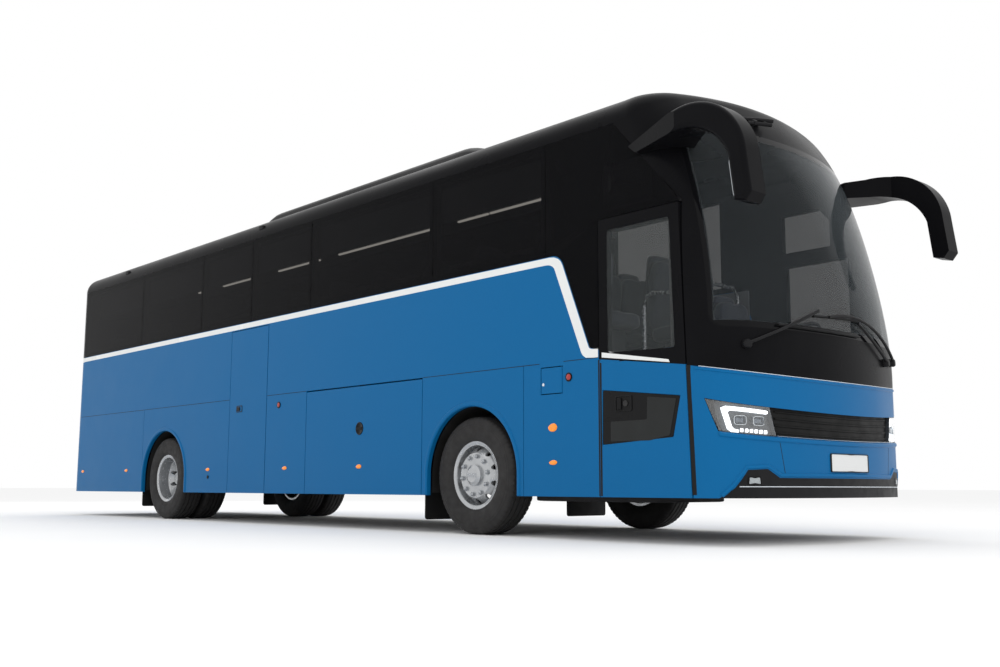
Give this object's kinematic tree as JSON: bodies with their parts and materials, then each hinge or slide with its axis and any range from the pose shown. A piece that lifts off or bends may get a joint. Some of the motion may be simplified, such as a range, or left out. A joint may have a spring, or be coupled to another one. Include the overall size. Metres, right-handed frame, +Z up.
{
  "type": "coach bus",
  "caption": "Long touring coach with flush dark glazing, a raked curved nose, ear mirrors, plug doors, luggage flaps, a roof fairing and steered front wheels.",
  "frame": {"origin": "on the ground, in the middle of the overall length and width", "axes": "+X forward, +Y to the left, +Z up"},
  "size_m": [12.285, 3.04, 3.7699],
  "materials": {
    "body_paint": "gloss metallic blue",
    "black_paint": "gloss black",
    "black_trim": "satin black",
    "tinted_glass": "tinted",
    "clear_glass": "clear",
    "lamp_lens": "clear over dark",
    "red_lens": "moulded lens",
    "amber_lens": "moulded lens",
    "frame_steel": "satin black",
    "cast_metal": "as cast",
    "floor": "ribbed vinyl",
    "cabin_plastic": "grained",
    "seat_cloth": "woven",
    "black_rubber": "matte",
    "tyre_rubber": "matte",
    "wheel_alloy": "polished"
  },
  "bodies": {
    "body": {"chassis_frame": "frame_steel", "floor_deck": "floor", "waist_panel_right": "body_paint", "waist_panel_left": "body_paint", "window_frame_right": "black_trim", "window_frame_left": "black_trim", "side_windows": "tinted_glass", "skirt_right": "body_paint", "skirt_left": "body_paint", "roof_shell": "black_paint", "roof_pod": "black_paint", "windscreen_surround": "black_paint", "windscreen": "clear_glass", "front_band": "body_paint", "grille": "black_trim", "headlamps": "lamp_lens", "front_bumper": "body_paint", "bumper_lip": "black_trim", "rear_panel": "body_paint", "rear_window": "tinted_glass", "tail_lamps": "red_lens", "engine_block": "cast_metal", "dashboard": "cabin_plastic", "driver_seat": "seat_cloth", "passenger_seats": "seat_cloth", "mirrors": "black_paint", "wipers": "black_trim", "marker_lamps": "amber_lens", "mud_flaps": "black_rubber", "front_axle": "frame_steel", "rear_axle": "frame_steel"},
    "knuckle_left": {"knuckle_left": "cast_metal"},
    "knuckle_right": {"knuckle_right": "cast_metal"},
    "front_wheel_left": {"front_wheel_left": "wheel_alloy", "front_tyre_left": "tyre_rubber"},
    "front_wheel_right": {"front_wheel_right": "wheel_alloy", "front_tyre_right": "tyre_rubber"},
    "rear_wheels_left": {"rear_wheels_left": "wheel_alloy", "rear_tyres_left": "tyre_rubber"},
    "rear_wheels_right": {"rear_wheels_right": "wheel_alloy", "rear_tyres_right": "tyre_rubber"},
    "steering_wheel": {"steering_wheel": "cabin_plastic"},
    "front_door_arms": {"front_door_arms": "frame_steel"},
    "front_door": {"front_door": "body_paint", "front_door_glass": "tinted_glass"},
    "mid_door_arms": {"mid_door_arms": "frame_steel"},
    "mid_door": {"mid_door": "body_paint"},
    "luggage_flap_right": {"luggage_flap_right": "body_paint"},
    "luggage_flap_left": {"luggage_flap_left": "body_paint"},
    "engine_lid": {"engine_lid": "body_paint"},
    "fuel_flap": {"fuel_flap": "body_paint"}
  },
  "joints": [
    {"name": "steer_left", "type": "hinge", "parent": "body", "child": "knuckle_left", "pos_m": [2.9825, 0.9, 0.515], "axis": [0, 0, 1], "range_deg": [-45, 45]},
    {"name": "steer_right", "type": "hinge", "parent": "body", "child": "knuckle_right", "pos_m": [2.9825, -0.9, 0.515], "axis": [0, 0, 1], "range_deg": [-45, 45]},
    {"name": "steering_wheel_turn", "type": "hinge", "parent": "body", "child": "steering_wheel", "pos_m": [5.1075, 0.56, 1.68], "axis": [-0.4695, 0, 0.8829], "range_deg": [-450, 450]},
    {"name": "front_left_spin", "type": "hinge", "parent": "knuckle_left", "child": "front_wheel_left", "pos_m": [2.9825, 1.0875, 0.515], "axis": [0, 1, 0], "continuous": true},
    {"name": "front_right_spin", "type": "hinge", "parent": "knuckle_right", "child": "front_wheel_right", "pos_m": [2.9825, -1.0875, 0.515], "axis": [0, 1, 0], "continuous": true},
    {"name": "rear_left_spin", "type": "hinge", "parent": "body", "child": "rear_wheels_left", "pos_m": [-3.0825, 0.92, 0.515], "axis": [0, 1, 0], "continuous": true},
    {"name": "rear_right_spin", "type": "hinge", "parent": "body", "child": "rear_wheels_right", "pos_m": [-3.0825, -0.92, 0.515], "axis": [0, 1, 0], "continuous": true},
    {"name": "front_door_swing", "type": "hinge", "parent": "body", "child": "front_door_arms", "pos_m": [5.2075, -1.19, 1.4], "axis": [0, 0, 1], "range_deg": [0, 90]},
    {"name": "front_door_turn", "type": "hinge", "parent": "front_door_arms", "child": "front_door", "pos_m": [4.6075, -1.19, 1.4], "axis": [0, 0, -1], "range_deg": [0, 90]},
    {"name": "mid_door_swing", "type": "hinge", "parent": "body", "child": "mid_door_arms", "pos_m": [-0.6775, -1.19, 1.3], "axis": [0, 0, 1], "range_deg": [0, 90]},
    {"name": "mid_door_turn", "type": "hinge", "parent": "mid_door_arms", "child": "mid_door", "pos_m": [-1.2375, -1.19, 1.3], "axis": [0, 0, -1], "range_deg": [0, 90]},
    {"name": "luggage_right_lift", "type": "hinge", "parent": "body", "child": "luggage_flap_right", "pos_m": [1.295, -1.255, 1.392], "axis": [-1, 0, 0], "range_deg": [0, 90]},
    {"name": "luggage_left_lift", "type": "hinge", "parent": "body", "child": "luggage_flap_left", "pos_m": [1.295, 1.255, 1.392], "axis": [1, 0, 0], "range_deg": [0, 90]},
    {"name": "engine_lid_lift", "type": "hinge", "parent": "body", "child": "engine_lid", "pos_m": [-6.1225, 0, 1.48], "axis": [0, 1, 0], "range_deg": [0, 90]},
    {"name": "fuel_flap_swing", "type": "hinge", "parent": "body", "child": "fuel_flap", "pos_m": [4.1025, -1.255, 1.275], "axis": [0, 0, 1], "range_deg": [0, 90]}
  ],
  "couplings": [
    {"joint": "steer_right", "follows": "steer_left", "ratio": 1},
    {"joint": "steering_wheel_turn", "follows": "steer_left", "ratio": 10},
    {"joint": "front_door_turn", "follows": "front_door_swing", "ratio": 1},
    {"joint": "mid_door_turn", "follows": "mid_door_swing", "ratio": 1}
  ]
}
